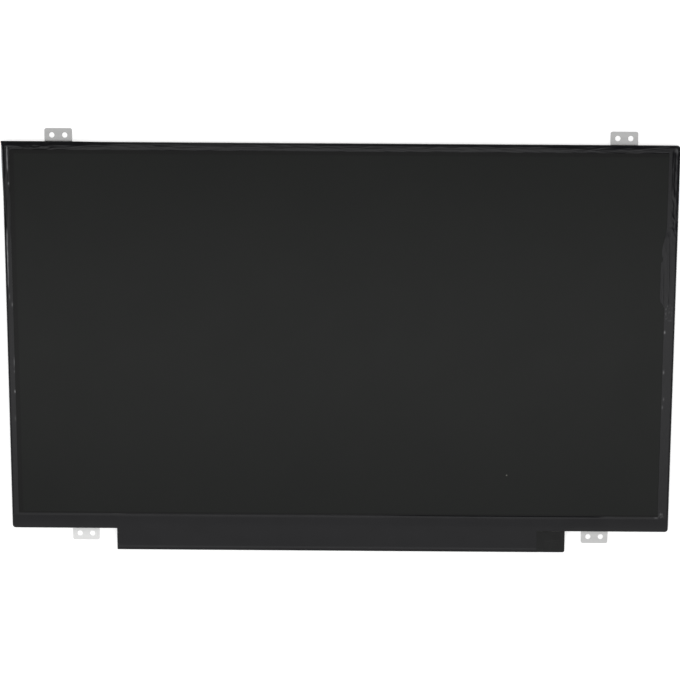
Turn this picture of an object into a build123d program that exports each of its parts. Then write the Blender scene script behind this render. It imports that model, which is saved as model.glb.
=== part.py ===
from build123d import *

import os
from typing import NamedTuple

# Slim laptop screen panel with a flat control board along its bottom edge, in millimetres.
# X runs to the viewer's right, Y to the top of the picture and Z out of the screen.
# The origin lies on the back plate's rear face, in the middle of the framed body.

# Framed body with its tape, seen from the front
body_width = 320.4
body_height = 188.0
body_corner_radius = 1.6

# Borders from the body's edge to the active picture area
side_border = 5.5
top_border = 5.6
bottom_border = 8.45

# Layers, from the rear to the front
plate_thickness = 0.3
reflector_thickness = 0.2
guide_thickness = 0.75
diffuser_thickness = 0.12
prism_thickness = 0.15
rim_tape_thickness = 0.1
polariser_thickness = 0.2
glass_thickness = 0.4
tape_thickness = 0.06

# Display cell
glass_inset = 1.5
glass_clearance = 0.2
glass_corner_radius = 0.8
array_bottom_inset = 2.0
filter_bottom_inset = 5.8
front_polariser_inset = 0.6
rear_polariser_inset = 2.2
polariser_corner_radius = 0.5
rim_tape_margin = 0.4

# Backlight sheets and light guide
sheet_margin = 1.0
sheet_clearance = 0.2
sheet_tab_count = 3
sheet_tab_pitch = 110.0
sheet_tab_width = 14.0
sheet_tab_reach = 1.0
guide_lead = 2.2
guide_tab_count = 2
guide_tab_pitch = 120.0
guide_tab_width = 6.0
guide_tab_reach = 0.8
shelf_clearance = 0.05

# Light bar
flex_thickness = 0.15
flex_width = 3.4
flex_clearance = 0.05
led_count = 36
led_length = 3.8
led_depth = 0.8
led_height = 0.7
led_gap = 0.2
led_window_length = 3.0
led_window_height = 0.4
led_window_depth = 0.15
tail_centre = 75.0
tail_width = 9.0
tail_straight = 1.0
tail_rise_run = 2.0
tail_landing = 3.0
tail_bend_radius = 0.8
tail_overlap = 1.0

# Back plate, keyed into the frame's rear rebate
plate_seat = 1.5
plate_flex_margin = 0.15
plate_clearance = 0.1
plate_corner_radius = 1.0
plate_key_count = 3
plate_key_pitch_x = 100.0
plate_key_pitch_y = 60.0
plate_key_width = 4.0
plate_key_depth = 0.8

# Steel ears, moulded into the frame
ear_width = 13.1
ear_reach = 6.35
ear_thickness = 0.4
ear_level = 0.75
ear_corner_radius = 1.0
ear_root_width = 11.0
ear_root_depth = 3.0
ear_anchor_diameter = 1.2
ear_anchor_pitch = 7.0
top_ear_inset = 26.5
bottom_ear_inset = 35.75
screw_hole_diameter = 2.5
screw_hole_pitch = 6.1
screw_hole_edge = 3.25

# Tapes
left_tape_width = 3.3
right_tape_width = 5.3
top_tape_width = 3.7
bottom_tape_width = 7.6
tape_rear_gap = 0.3
tape_rear_clearance = 0.04
tape_notch_clearance = 0.6
tape_board_clearance = 1.0
bare_board_end = 13.8

# Control board
board_width = 219.0
board_height = 10.5
board_thickness = 0.8
board_gap = 0.25
board_offset = 0.4
board_corner = 0.6

# Source films and driver chips
film_count = 4
film_pitch = 52.0
film_thickness = 0.06
film_width = 38.0
film_neck_width = 30.0
film_bond = 1.5
film_window_clearance = 1.0
driver_length = 18.0
driver_width = 0.9
driver_height = 0.3

# Signal socket on the rear of the board
socket_end_inset = 23.5
socket_ways = 30
socket_pitch = 0.5
socket_mouth_inset = 0.15
socket_depth = 4.2
socket_height = 1.1
socket_end_margin = 1.4
socket_block_depth = 1.2
socket_tongue_thickness = 0.35
socket_tongue_inset = 0.4
contact_width = 0.2
contact_thickness = 0.1
contact_tail = 0.8
shell_thickness = 0.15
shell_foot_reach = 1.1
shell_foot_width = 1.2
shell_foot_pitch = 2.2
shell_window_length = 1.6
shell_window_width = 1.0
shell_window_pitch = 12.0


class BoardChip(NamedTuple):
    """A packaged part on the rear of the board: its place along X, and its size."""

    name: str
    x: float
    length: float
    width: float
    height: float


# The signal chips stand in line after the fuse, and the rest about the middle of the board
signal_chips = (
    BoardChip("memory_chip", 14.1, 3.0, 4.4, 0.75),
    BoardChip("timing_controller", 32.1, 8.0, 8.0, 0.9),
)
power_chips = (
    BoardChip("power_chip", 0.0, 6.0, 6.0, 0.8),
    BoardChip("level_shifter", 30.0, 5.0, 5.0, 0.8),
    BoardChip("backlight_driver", 50.0, 4.0, 4.0, 0.75),
    BoardChip("gamma_buffer", 92.0, 5.0, 4.4, 0.8),
)
inductors = (
    BoardChip("logic_inductor", -14.0, 4.0, 4.0, 1.2),
    BoardChip("bias_inductor", 14.0, 5.0, 5.0, 1.2),
    BoardChip("backlight_inductor", 62.0, 5.0, 5.0, 1.2),
)
chip_edge_break = 0.12
inductor_edge_break = 0.4
fuse_gap = 7.0
fuse_length = 3.2
fuse_width = 1.6
fuse_height = 0.6
capacitor_length = 1.6
capacitor_width = 0.8
capacitor_height = 0.8
capacitor_gap = 1.0
capacitor_rows = 3
capacitor_spacing = 2.4
bulk_capacitor_length = 2.0
bulk_capacitor_width = 1.25
bulk_capacitor_height = 1.0
bulk_capacitor_gap = 1.1
bulk_capacitor_spacing = 2.6
diode_length = 2.6
diode_width = 1.6
diode_height = 0.9
diode_gap = 2.8
diode_edge_break = 0.25
resistor_length = 0.5
resistor_width = 1.0
resistor_height = 0.35
resistor_gap = 0.8
resistor_rows = 4
resistor_row_spacing = 1.7
line_resistor_count = 12
line_resistor_spacing = 1.2
line_resistor_edge = 1.6


class Outline(NamedTuple):
    """A rectangle about the panel's middle line, given by its edges."""

    half_width: float
    bottom: float
    top: float

    def grow(self, by):
        return Outline(self.half_width + by, self.bottom - by, self.top + by)

    def draw(self, radius=0.0):
        """Draws the rectangle into the sketch that is open."""
        width = 2 * self.half_width
        height = self.top - self.bottom
        with Locations((0, (self.top + self.bottom) / 2)):
            if radius:
                RectangleRounded(width, height, radius)
            else:
                Rectangle(width, height)


# Levels, from the rear to the front
rim_level = tape_thickness + tape_rear_clearance
reflector_level = plate_thickness
guide_level = reflector_level + reflector_thickness
diffuser_level = guide_level + guide_thickness
lower_prism_level = diffuser_level + diffuser_thickness
upper_prism_level = lower_prism_level + prism_thickness
ledge_level = upper_prism_level + prism_thickness
rear_polariser_level = ledge_level + rim_tape_thickness
array_level = rear_polariser_level + polariser_thickness
filter_level = array_level + glass_thickness
front_polariser_level = filter_level + glass_thickness
face_level = front_polariser_level + polariser_thickness
lip_level = filter_level + film_thickness
shelf_level = diffuser_level + shelf_clearance
flex_level = plate_thickness
led_level = flex_level + flex_thickness
board_front = filter_level
board_rear = board_front - board_thickness

# Outlines, from the outside inwards
body = Outline(body_width / 2, -body_height / 2, body_height / 2)
frame_edge = body.grow(-tape_thickness)
active = Outline(body.half_width - side_border, body.bottom + bottom_border, body.top - top_border)
sheets = active.grow(sheet_margin)
opening = sheets.grow(sheet_clearance)
guide = sheets._replace(bottom=active.bottom - guide_lead)
led_front = guide.bottom - led_gap
led_rear = led_front - led_depth
led_pocket_bottom = led_rear - led_gap
flex_bottom = led_front - flex_width
plate = opening.grow(plate_seat)._replace(bottom=flex_bottom - plate_flex_margin)
array = Outline(body.half_width - glass_inset, body.bottom + array_bottom_inset, body.top - glass_inset)
colour_filter = array._replace(bottom=body.bottom + filter_bottom_inset)
front_film = colour_filter.grow(-front_polariser_inset)
rear_film = colour_filter.grow(-rear_polariser_inset)
rear_film = rear_film._replace(bottom=colour_filter.bottom)
slope_run = frame_edge.half_width - front_film.half_width

# Places on the light bar, the board and the socket
led_pitch = 2 * active.half_width / led_count
board_top = body.bottom - board_gap
board_bottom = board_top - board_height
board_middle = (board_top + board_bottom) / 2
board_left = board_offset - board_width / 2
board_right = board_offset + board_width / 2
driver_middle = (array.bottom + board_top) / 2
socket_middle = board_left + socket_end_inset
socket_mouth = board_bottom + socket_mouth_inset
socket_back = socket_mouth + socket_depth
socket_inner_width = socket_ways * socket_pitch + 2 * socket_end_margin
socket_roof = board_rear - socket_height
fuse_middle = socket_middle + socket_inner_width / 2 + fuse_gap
chips = tuple(shape._replace(x=fuse_middle + shape.x) for shape in signal_chips)
chips += tuple(shape._replace(x=board_offset + shape.x) for shape in power_chips)
coils = tuple(shape._replace(x=board_offset + shape.x) for shape in inductors)
contact_face = board_rear - contact_thickness


def write(piece, name):
    """Labels a finished piece and writes it as its own file."""
    piece.part.label = name
    export_step(piece.part, f"parts/{name}.step")


def flat_sheet(outline, level, thickness, radius=0.0):
    """A plain flat layer of the stack."""
    with BuildPart() as layer:
        with BuildSketch(Plane.XY.offset(level)):
            outline.draw(radius)
        extrude(amount=thickness)
    return layer


def tabs_along_top(outline, clearance=0.0):
    """Draws the tabs that hold a sheet in the frame, on the sheet's top edge."""
    width = sheet_tab_width + 2 * clearance
    height = sheet_tab_reach + clearance
    with Locations((0, outline.top)):
        with GridLocations(sheet_tab_pitch, 0, sheet_tab_count, 1):
            Rectangle(width, height, align=(Align.CENTER, Align.MIN))


def tabs_at_sides(outline, clearance=0.0):
    """Draws the tabs that hold the light guide, on its left and right edges."""
    reach = 2 * (outline.half_width + guide_tab_reach + clearance)
    with GridLocations(0, guide_tab_pitch, 1, guide_tab_count):
        Rectangle(reach, guide_tab_width + 2 * clearance)


def tabbed_sheet(level, thickness):
    """A backlight sheet with its holding tabs."""
    with BuildPart() as sheet:
        with BuildSketch(Plane.XY.offset(level)):
            sheets.draw()
            tabs_along_top(sheets)
        extrude(amount=thickness)
    return sheet


def plate_face(clearance=0.0):
    """Draws the back plate with its key notches, or the frame's rebate round it."""
    notch_width = plate_key_width - 2 * clearance
    notch_depth = 2 * (plate_key_depth - clearance)
    edge = plate.grow(clearance)
    edge.draw(plate_corner_radius)
    with Locations((0, (edge.top + edge.bottom) / 2)):
        with GridLocations(plate_key_pitch_x, edge.top - edge.bottom, plate_key_count, 2):
            Rectangle(notch_width, notch_depth, mode=Mode.SUBTRACT)
        with GridLocations(2 * edge.half_width, plate_key_pitch_y, 2, plate_key_count):
            Rectangle(notch_depth, notch_width, mode=Mode.SUBTRACT)


def ear(x, side):
    """A steel ear: side is 1 on the top edge and -1 on the bottom edge."""
    edge = side * (body.top - tape_thickness)
    tip = side * (body.top + ear_reach)
    with BuildPart() as bracket:
        with BuildSketch(Plane.XY.offset(ear_level)):
            with Locations((x, (edge + tip) / 2)):
                Rectangle(ear_width, abs(tip - edge))
            outer = vertices().group_by(Axis.Y)[-1 if side > 0 else 0]
            fillet(outer, ear_corner_radius)
            with Locations((x, edge - side * ear_root_depth / 2)):
                Rectangle(ear_root_width, ear_root_depth)
            with Locations((x, tip - side * screw_hole_edge)):
                with GridLocations(screw_hole_pitch, 0, 2, 1):
                    Circle(screw_hole_diameter / 2, mode=Mode.SUBTRACT)
            with Locations((x, edge - side * ear_root_depth / 2)):
                with GridLocations(ear_anchor_pitch, 0, 2, 1):
                    Circle(ear_anchor_diameter / 2, mode=Mode.SUBTRACT)
        extrude(amount=ear_thickness)
    return bracket


def film_places():
    """The middles of the source films, from left to right."""
    first = board_offset - film_pitch * (film_count - 1) / 2
    return [first + film_pitch * number for number in range(film_count)]


def source_film(x):
    """A driver film: wide on the array glass, with shoulders down to a neck on the board."""
    top = array.bottom + film_bond
    shoulder = array.bottom
    neck = board_top
    end = board_top - film_bond
    wide = film_width / 2
    narrow = film_neck_width / 2
    with BuildPart() as film:
        with BuildSketch(Plane.XY.offset(filter_level)):
            with BuildLine():
                Polyline(
                    (x - wide, top),
                    (x + wide, top),
                    (x + wide, shoulder),
                    (x + narrow, neck),
                    (x + narrow, end),
                    (x - narrow, end),
                    (x - narrow, neck),
                    (x - wide, shoulder),
                    close=True,
                )
            make_face()
        extrude(amount=film_thickness)
    return film


def driver_chip(x):
    """The driver chip on the rear of a source film, between the glass and the board."""
    with BuildPart() as chip:
        with BuildSketch(Plane.XY.offset(filter_level)):
            with Locations((x, driver_middle)):
                Rectangle(driver_length, driver_width)
        extrude(amount=-driver_height)
    return chip


def board_part(shape, edge_break):
    """A packaged part on the rear of the board, with its rear edges broken."""
    with BuildPart() as package:
        with BuildSketch(Plane.XY.offset(board_rear)):
            with Locations((shape.x, board_middle)):
                Rectangle(shape.length, shape.width)
        extrude(amount=-shape.height)
        chamfer(package.faces().sort_by(Axis.Z)[0].edges(), edge_break)
    return package


def capacitor_reach(shape):
    """The distance between the two columns of capacitors beside a chip."""
    return shape.length + 2 * capacitor_gap + capacitor_width


def wrapped_form(grow):
    """The form that the tapes follow: the frame's wall, then a slope up to the screen's face."""
    radius = body_corner_radius - tape_thickness + grow
    foot = frame_edge._replace(bottom=front_film.bottom - slope_run)
    with BuildPart() as form:
        with BuildSketch(Plane.XY.offset(rim_level - grow)):
            frame_edge.grow(grow).draw(radius)
        extrude(amount=lip_level - rim_level + 2 * grow)
        with BuildSketch(Plane.XY.offset(lip_level + grow)):
            foot.grow(grow).draw(radius)
        with BuildSketch(Plane.XY.offset(face_level + grow)):
            front_film.grow(grow).draw(polariser_corner_radius + grow)
        loft(ruled=True)
    return form


def tape_strip(left, right, bottom, top):
    """The stretch of the tape wrap that lies between four edges."""
    with BuildPart() as strip:
        add(tape_wrap.part)
        with BuildSketch():
            with Locations(((left + right) / 2, (bottom + top) / 2)):
                Rectangle(right - left, top - bottom)
        extrude(amount=face_level + 2 * tape_thickness, mode=Mode.INTERSECT)
    return strip


os.makedirs("parts", exist_ok=True)

# Steel ears
top_ear_x = body.half_width - top_ear_inset
bottom_ear_x = body.half_width - bottom_ear_inset
ears = {
    "top_left_ear": ear(-top_ear_x, 1),
    "top_right_ear": ear(top_ear_x, 1),
    "bottom_left_ear": ear(-bottom_ear_x, -1),
    "bottom_right_ear": ear(bottom_ear_x, -1),
}
for name, bracket in ears.items():
    write(bracket, name)

# Moulded frame: the stepped ring that carries the whole stack
with BuildPart() as frame:
    with BuildSketch(Plane.XY.offset(rim_level)):
        frame_edge.draw(body_corner_radius - tape_thickness)
    extrude(amount=lip_level - rim_level)
    # Pocket for the glass, and windows in its bottom lip for the source films
    with BuildSketch(Plane.XY.offset(ledge_level)):
        array.grow(glass_clearance).draw()
        with Locations([(x, array.bottom) for x in film_places()]):
            Rectangle(film_width + 2 * film_window_clearance, 2 * array_bottom_inset)
    extrude(amount=lip_level - ledge_level, mode=Mode.SUBTRACT)
    # Opening for the sheets above the shelf, with pockets for their tabs
    with BuildSketch(Plane.XY.offset(diffuser_level)):
        opening.draw()
        tabs_along_top(opening, sheet_clearance)
    extrude(amount=ledge_level - diffuser_level, mode=Mode.SUBTRACT)
    # Opening for the light guide and the LEDs below the shelf
    with BuildSketch(Plane.XY.offset(rim_level)):
        opening._replace(bottom=led_pocket_bottom).draw()
        tabs_at_sides(opening, sheet_clearance)
    extrude(amount=shelf_level - rim_level, mode=Mode.SUBTRACT)
    # Rebate for the back plate
    with BuildSketch(Plane.XY.offset(rim_level)):
        plate_face(plate_clearance)
    extrude(amount=plate_thickness - rim_level, mode=Mode.SUBTRACT)
    # Channel for the light bar's circuit, and the slot where its tail leaves
    with BuildSketch(Plane.XY.offset(rim_level)):
        channel = Outline(opening.half_width, flex_bottom - flex_clearance, led_pocket_bottom)
        channel.draw()
        with Locations((tail_centre, channel.bottom)):
            Rectangle(tail_width + 2 * sheet_clearance, 2 * (channel.bottom - body.bottom))
    extrude(amount=led_level + flex_clearance - rim_level, mode=Mode.SUBTRACT)
    for bracket in ears.values():
        add(bracket.part, mode=Mode.SUBTRACT)
write(frame, "moulded_frame")

# Back plate
with BuildPart() as back_plate:
    with BuildSketch():
        plate_face()
    extrude(amount=plate_thickness)
write(back_plate, "back_plate")

# Backlight sheets and light guide
write(flat_sheet(guide, reflector_level, reflector_thickness), "reflector_sheet")
with BuildPart() as light_guide:
    with BuildSketch(Plane.XY.offset(guide_level)):
        guide.draw()
        tabs_at_sides(guide)
    extrude(amount=guide_thickness)
write(light_guide, "light_guide")
write(tabbed_sheet(diffuser_level, diffuser_thickness), "diffuser_sheet")
write(tabbed_sheet(lower_prism_level, prism_thickness), "lower_prism_sheet")
write(tabbed_sheet(upper_prism_level, prism_thickness), "upper_prism_sheet")

# Light bar: a flat circuit whose tail rises to the board's rear face
with BuildPart() as light_bar_flex:
    with BuildSketch(Plane.XY.offset(flex_level)):
        Outline(active.half_width, flex_bottom, led_front).draw()
    extrude(amount=flex_thickness)
    with BuildSketch(Plane.YZ.offset(tail_centre - tail_width / 2)):
        with BuildLine():
            bend = body.bottom - tail_straight
            landing = bend - tail_rise_run
            landing_level = board_rear - flex_thickness
            FilletPolyline(
                (flex_bottom + tail_overlap, flex_level),
                (bend, flex_level),
                (landing, landing_level),
                (landing - tail_landing, landing_level),
                radius=tail_bend_radius,
            )
            offset(amount=flex_thickness, side=Side.RIGHT)
        make_face()
    extrude(amount=tail_width)
write(light_bar_flex, "light_bar_flex")

with BuildPart() as light_bar_leds:
    with BuildSketch(Plane.XY.offset(led_level)):
        with Locations((0, (led_front + led_rear) / 2)):
            with GridLocations(led_pitch, 0, led_count, 1):
                Rectangle(led_length, led_depth)
    extrude(amount=led_height)
    with BuildSketch(Plane.XZ.offset(-led_front)):
        with Locations((0, led_level + led_height / 2)):
            with GridLocations(led_pitch, 0, led_count, 1):
                Rectangle(led_window_length, led_window_height)
    extrude(amount=led_window_depth, mode=Mode.SUBTRACT)
write(light_bar_leds, "light_bar_leds")

# Display cell on its rim tape
with BuildPart() as rim_tape:
    with BuildSketch(Plane.XY.offset(ledge_level)):
        array.draw()
        with BuildSketch(mode=Mode.SUBTRACT):
            active.grow(rim_tape_margin).draw()
    extrude(amount=rim_tape_thickness)
write(rim_tape, "rim_tape")
write(flat_sheet(rear_film, rear_polariser_level, polariser_thickness), "rear_polariser")
array_glass = flat_sheet(array, array_level, glass_thickness, glass_corner_radius)
write(array_glass, "array_glass")
filter_glass = flat_sheet(colour_filter, filter_level, glass_thickness, glass_corner_radius)
write(filter_glass, "colour_filter_glass")
front_polariser = flat_sheet(
    front_film, front_polariser_level, polariser_thickness, polariser_corner_radius
)
write(front_polariser, "front_polariser")

# Source films and their driver chips
for number, x in enumerate(film_places(), start=1):
    write(source_film(x), f"source_film_{number}")
    write(driver_chip(x), f"driver_chip_{number}")

# Control board
with BuildPart() as control_board:
    with BuildSketch(Plane.XY.offset(board_rear)):
        with Locations((board_offset, board_middle)):
            Rectangle(board_width, board_height)
        chamfer(vertices().group_by(Axis.Y)[0], board_corner)
    extrude(amount=board_thickness)
write(control_board, "control_board")

for shape in chips:
    write(board_part(shape, chip_edge_break), shape.name)
for shape in coils:
    write(board_part(shape, inductor_edge_break), shape.name)

# Small board parts: capacitors beside each chip, and larger ones beside each inductor
with BuildPart() as capacitors:
    with BuildSketch(Plane.XY.offset(board_rear)):
        for shape in chips:
            with Locations((shape.x, board_middle)):
                with GridLocations(capacitor_reach(shape), capacitor_spacing, 2, capacitor_rows):
                    Rectangle(capacitor_width, capacitor_length)
    extrude(amount=-capacitor_height)
    with BuildSketch(Plane.XY.offset(board_rear)):
        for shape in coils:
            reach = shape.length / 2 + bulk_capacitor_gap + bulk_capacitor_width / 2
            with Locations((shape.x + reach, board_middle)):
                with GridLocations(0, bulk_capacitor_spacing, 1, 2):
                    Rectangle(bulk_capacitor_width, bulk_capacitor_length)
    extrude(amount=-bulk_capacitor_height)
write(capacitors, "board_capacitors")

with BuildPart() as diodes:
    with BuildSketch(Plane.XY.offset(board_rear)):
        for shape in coils:
            reach = shape.length / 2 + diode_gap
            with Locations((shape.x - reach, board_middle)):
                Rectangle(diode_width, diode_length)
    extrude(amount=-diode_height)
    rear_faces = diodes.faces().filter_by(Plane.XY).group_by(Axis.Z)[0]
    chamfer(rear_faces.edges(), diode_edge_break)
write(diodes, "rectifier_diodes")

with BuildPart() as resistors:
    with BuildSketch(Plane.XY.offset(board_rear)):
        for shape in chips:
            reach = capacitor_reach(shape) + capacitor_width + 2 * resistor_gap + resistor_length
            with Locations((shape.x, board_middle)):
                with GridLocations(reach, resistor_row_spacing, 2, resistor_rows):
                    Rectangle(resistor_length, resistor_width)
        with Locations((socket_middle, board_top - line_resistor_edge)):
            with GridLocations(line_resistor_spacing, 0, line_resistor_count, 1):
                Rectangle(resistor_length, resistor_width)
    extrude(amount=-resistor_height)
write(resistors, "board_resistors")

with BuildPart() as fuse:
    with BuildSketch(Plane.XY.offset(board_rear)):
        with Locations((fuse_middle, board_middle)):
            Rectangle(fuse_width, fuse_length)
    extrude(amount=-fuse_height)
write(fuse, "input_fuse")

# Signal socket: contacts flat on the board, a housing with its tongue, and a shell over both
with BuildPart() as socket_contacts:
    with BuildSketch(Plane.XY.offset(board_rear)):
        front = socket_mouth + 2 * socket_tongue_inset
        back = socket_back + contact_tail
        with Locations((socket_middle, (front + back) / 2)):
            with GridLocations(socket_pitch, 0, socket_ways, 1):
                Rectangle(contact_width, back - front)
    extrude(amount=-contact_thickness)
write(socket_contacts, "socket_contacts")

with BuildPart() as socket_housing:
    with BuildSketch(Plane.XY.offset(contact_face)):
        front = socket_mouth + socket_tongue_inset
        with Locations((socket_middle, (front + socket_back) / 2)):
            Rectangle(socket_ways * socket_pitch + contact_width, socket_back - front)
    extrude(amount=-socket_tongue_thickness)
    with BuildSketch(Plane.XY.offset(contact_face)):
        with Locations((socket_middle, socket_back)):
            Rectangle(socket_inner_width, socket_block_depth, align=(Align.CENTER, Align.MAX))
    extrude(amount=-(contact_face - socket_roof - shell_thickness))
write(socket_housing, "socket_housing")

with BuildPart() as socket_shell:
    shell_width = socket_inner_width + 2 * shell_thickness
    with BuildSketch(Plane.XY.offset(board_rear)):
        with Locations((socket_middle, (socket_mouth + socket_back) / 2)):
            Rectangle(shell_width, socket_depth)
    extrude(amount=-socket_height)
    with BuildSketch(Plane.XY.offset(board_rear)):
        with Locations((socket_middle, (socket_mouth + socket_back) / 2)):
            Rectangle(socket_inner_width, socket_depth)
    extrude(amount=-(socket_height - shell_thickness), mode=Mode.SUBTRACT)
    with BuildSketch(Plane.XY.offset(board_rear)):
        foot_pitch = shell_width + shell_foot_reach
        with Locations((socket_middle, (socket_mouth + socket_back) / 2)):
            with GridLocations(foot_pitch, shell_foot_pitch, 2, 2):
                Rectangle(shell_foot_reach, shell_foot_width)
    extrude(amount=-shell_thickness)
    with BuildSketch(Plane.XY.offset(socket_roof)):
        with Locations((socket_middle, (socket_mouth + socket_back) / 2)):
            with GridLocations(shell_window_pitch, 0, 2, 1):
                Rectangle(shell_window_length, shell_window_width)
    extrude(amount=shell_thickness, mode=Mode.SUBTRACT)
write(socket_shell, "socket_shell")

# Tape wrap: a thin skin over the frame and the screen's border, then its four strips
form_inside = wrapped_form(0)
with BuildPart() as tape_wrap:
    add(wrapped_form(tape_thickness).part)
    add(form_inside.part, mode=Mode.SUBTRACT)
    # Bare screen at the front, and bare rear inside the turned-in edge
    with BuildSketch(Plane.XY.offset(rim_level)):
        left = body.half_width - left_tape_width
        right = body.half_width - right_tape_width
        bottom = body.bottom + bottom_tape_width
        top = body.top - top_tape_width
        with Locations(((right - left) / 2, (top + bottom) / 2)):
            Rectangle(left + right, top - bottom)
    extrude(amount=face_level + tape_thickness - rim_level, mode=Mode.SUBTRACT)
    with BuildSketch():
        plate.grow(plate_clearance + tape_rear_gap).draw()
    extrude(amount=rim_level, mode=Mode.SUBTRACT)
    # Gaps for the ears, and for the board along the bottom edge
    with BuildSketch():
        notch_width = ear_width + 2 * tape_notch_clearance
        notch_depth = 2 * (body.top - opening.top)
        with Locations((-top_ear_x, body.top), (top_ear_x, body.top)):
            Rectangle(notch_width, notch_depth)
        with Locations((-bottom_ear_x, body.bottom), (bottom_ear_x, body.bottom)):
            Rectangle(notch_width, notch_depth)
    extrude(amount=ear_level + ear_thickness + tape_notch_clearance, mode=Mode.SUBTRACT)
    with BuildSketch():
        with Locations((board_offset, body.bottom)):
            Rectangle(board_width + 2 * tape_board_clearance, notch_depth)
    extrude(amount=lip_level, mode=Mode.SUBTRACT)

write(tape_strip(-body.half_width, -left, body.bottom, body.top), "left_edge_tape")
write(tape_strip(right, body.half_width, body.bottom, body.top), "right_edge_tape")
write(tape_strip(-left, right, top, body.top), "top_edge_tape")

# Bottom cover tape: the bottom strip, with a tongue over the front of the board
with BuildPart() as bottom_cover_tape:
    add(tape_strip(-left, right, body.bottom, bottom).part)
    with BuildSketch(Plane.XY.offset(lip_level)):
        tongue_right = board_right - bare_board_end
        with Locations(((board_left + tongue_right) / 2, (board_bottom + body.bottom) / 2)):
            Rectangle(tongue_right - board_left, body.bottom - board_bottom)
    extrude(amount=tape_thickness)
write(bottom_cover_tape, "bottom_cover_tape")
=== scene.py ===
"""Looks of the laptop screen panel: wrinkled border tapes, a dressed control board, finishes, light and camera."""

import math

import bmesh
import bpy
from mathutils import Matrix, Vector, noise


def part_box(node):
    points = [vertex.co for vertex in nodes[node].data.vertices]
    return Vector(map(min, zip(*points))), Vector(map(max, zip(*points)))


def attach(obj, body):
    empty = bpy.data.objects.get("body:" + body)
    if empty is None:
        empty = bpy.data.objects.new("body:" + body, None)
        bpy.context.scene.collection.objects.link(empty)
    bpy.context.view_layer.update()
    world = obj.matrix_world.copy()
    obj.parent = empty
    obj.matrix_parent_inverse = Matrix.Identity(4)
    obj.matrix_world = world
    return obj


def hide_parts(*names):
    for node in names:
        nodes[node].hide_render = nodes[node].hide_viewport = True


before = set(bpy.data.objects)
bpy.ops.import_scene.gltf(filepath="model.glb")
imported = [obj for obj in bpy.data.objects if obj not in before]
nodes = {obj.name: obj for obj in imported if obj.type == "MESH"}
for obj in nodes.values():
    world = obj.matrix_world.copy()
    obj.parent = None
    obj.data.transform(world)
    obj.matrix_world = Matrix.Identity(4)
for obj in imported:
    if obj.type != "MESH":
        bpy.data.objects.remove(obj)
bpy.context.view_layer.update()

MM = 0.001

# Levels and edges of the panel, taken from its solids
face_low, face_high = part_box("front_polariser")
frame_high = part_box("moulded_frame")[1]
board_low, board_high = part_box("control_board")
left_low, left_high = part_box("left_edge_tape")
right_low, right_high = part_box("right_edge_tape")
top_low, top_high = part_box("top_edge_tape")
bottom_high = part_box("bottom_cover_tape")[1]
plate_low, plate_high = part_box("back_plate")
ear_low, ear_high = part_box("top_left_ear")

body_left = left_low.x
body_right = right_high.x
body_top = top_high.y
body_bottom = left_low.y
tape_thickness = top_high.z - face_high.z
lip_drop = face_high.z - frame_high.z
slope_run = frame_high.x - face_high.x
band_run = face_low.y - body_bottom
rear_level = left_low.z
board_rear = board_low.z
corner_radius = 1.6 * MM

# Room left round the ears and the back plate, and the end of the board that the tape leaves bare
ear_gap = 0.6 * MM
plate_gap = 0.4 * MM
bare_end = 13.8 * MM
notch_level = ear_high.z + ear_gap
notch_half = (ear_high.x - ear_low.x) / 2 + ear_gap
rear_window = (plate_high.x + plate_gap, plate_low.y - plate_gap, plate_high.y + plate_gap)

# The screen's picture area, and the one grit that lies on it
picture_half = 154.7 * MM
picture_top = 88.4 * MM
picture_bottom = -85.55 * MM
grit_place = (80.9 * MM, -66.1 * MM, face_high.z)
grit_radius = 0.3 * MM


# Modelling helpers


def start_piece(name, add_primitive, **settings):
    """Adds a primitive with nothing else selected, and opens it for editing."""
    bpy.ops.object.select_all(action="DESELECT")
    add_primitive(enter_editmode=True, **settings)
    piece = bpy.context.object
    piece.name = name
    piece.data.name = name
    return piece


def place_blank(size, middle):
    """Sizes and places the primitive that is being edited."""
    bpy.ops.transform.resize(value=size)
    bpy.ops.transform.translate(value=middle)


def pick_edges(piece, wanted):
    """Selects the open edges whose middle is wanted, and nothing else."""
    bpy.ops.mesh.select_all(action="DESELECT")
    bpy.ops.mesh.select_mode(type="EDGE")
    mesh = bmesh.from_edit_mesh(piece.data)
    for edge in mesh.edges:
        if edge.is_boundary and wanted((edge.verts[0].co + edge.verts[1].co) / 2):
            edge.select_set(True)
    bmesh.update_edit_mesh(piece.data)


def pick_faces(piece, wanted):
    """Selects the faces whose middle and normal are wanted, and nothing else."""
    bpy.ops.mesh.select_all(action="DESELECT")
    bpy.ops.mesh.select_mode(type="FACE")
    mesh = bmesh.from_edit_mesh(piece.data)
    mesh.normal_update()
    for face in mesh.faces:
        if wanted(face.calc_center_median(), face.normal):
            face.select_set(True)
    bmesh.update_edit_mesh(piece.data)


def extrude_picked(move):
    """Extrudes what is selected by a straight move."""
    bpy.ops.mesh.extrude_region_move(TRANSFORM_OT_translate={"value": move})


def move_points(piece, shift, only_picked=False):
    """Moves the points of the piece being edited to where shift sends them."""
    mesh = bmesh.from_edit_mesh(piece.data)
    for point in mesh.verts:
        if point.select or not only_picked:
            point.co = shift(point.co)
    bmesh.update_edit_mesh(piece.data)


def leave_editing():
    """Goes back to object mode if a piece is open for editing."""
    if bpy.context.mode != "OBJECT":
        bpy.ops.object.mode_set(mode="OBJECT")


def apply_modifier(piece, name, kind, **settings):
    """Adds a modifier with its settings to a piece, and applies it."""
    leave_editing()
    modifier = piece.modifiers.new(name, kind)
    for setting, value in settings.items():
        setattr(modifier, setting, value)
    bpy.context.view_layer.objects.active = piece
    bpy.ops.object.modifier_apply(modifier=modifier.name)


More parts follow.
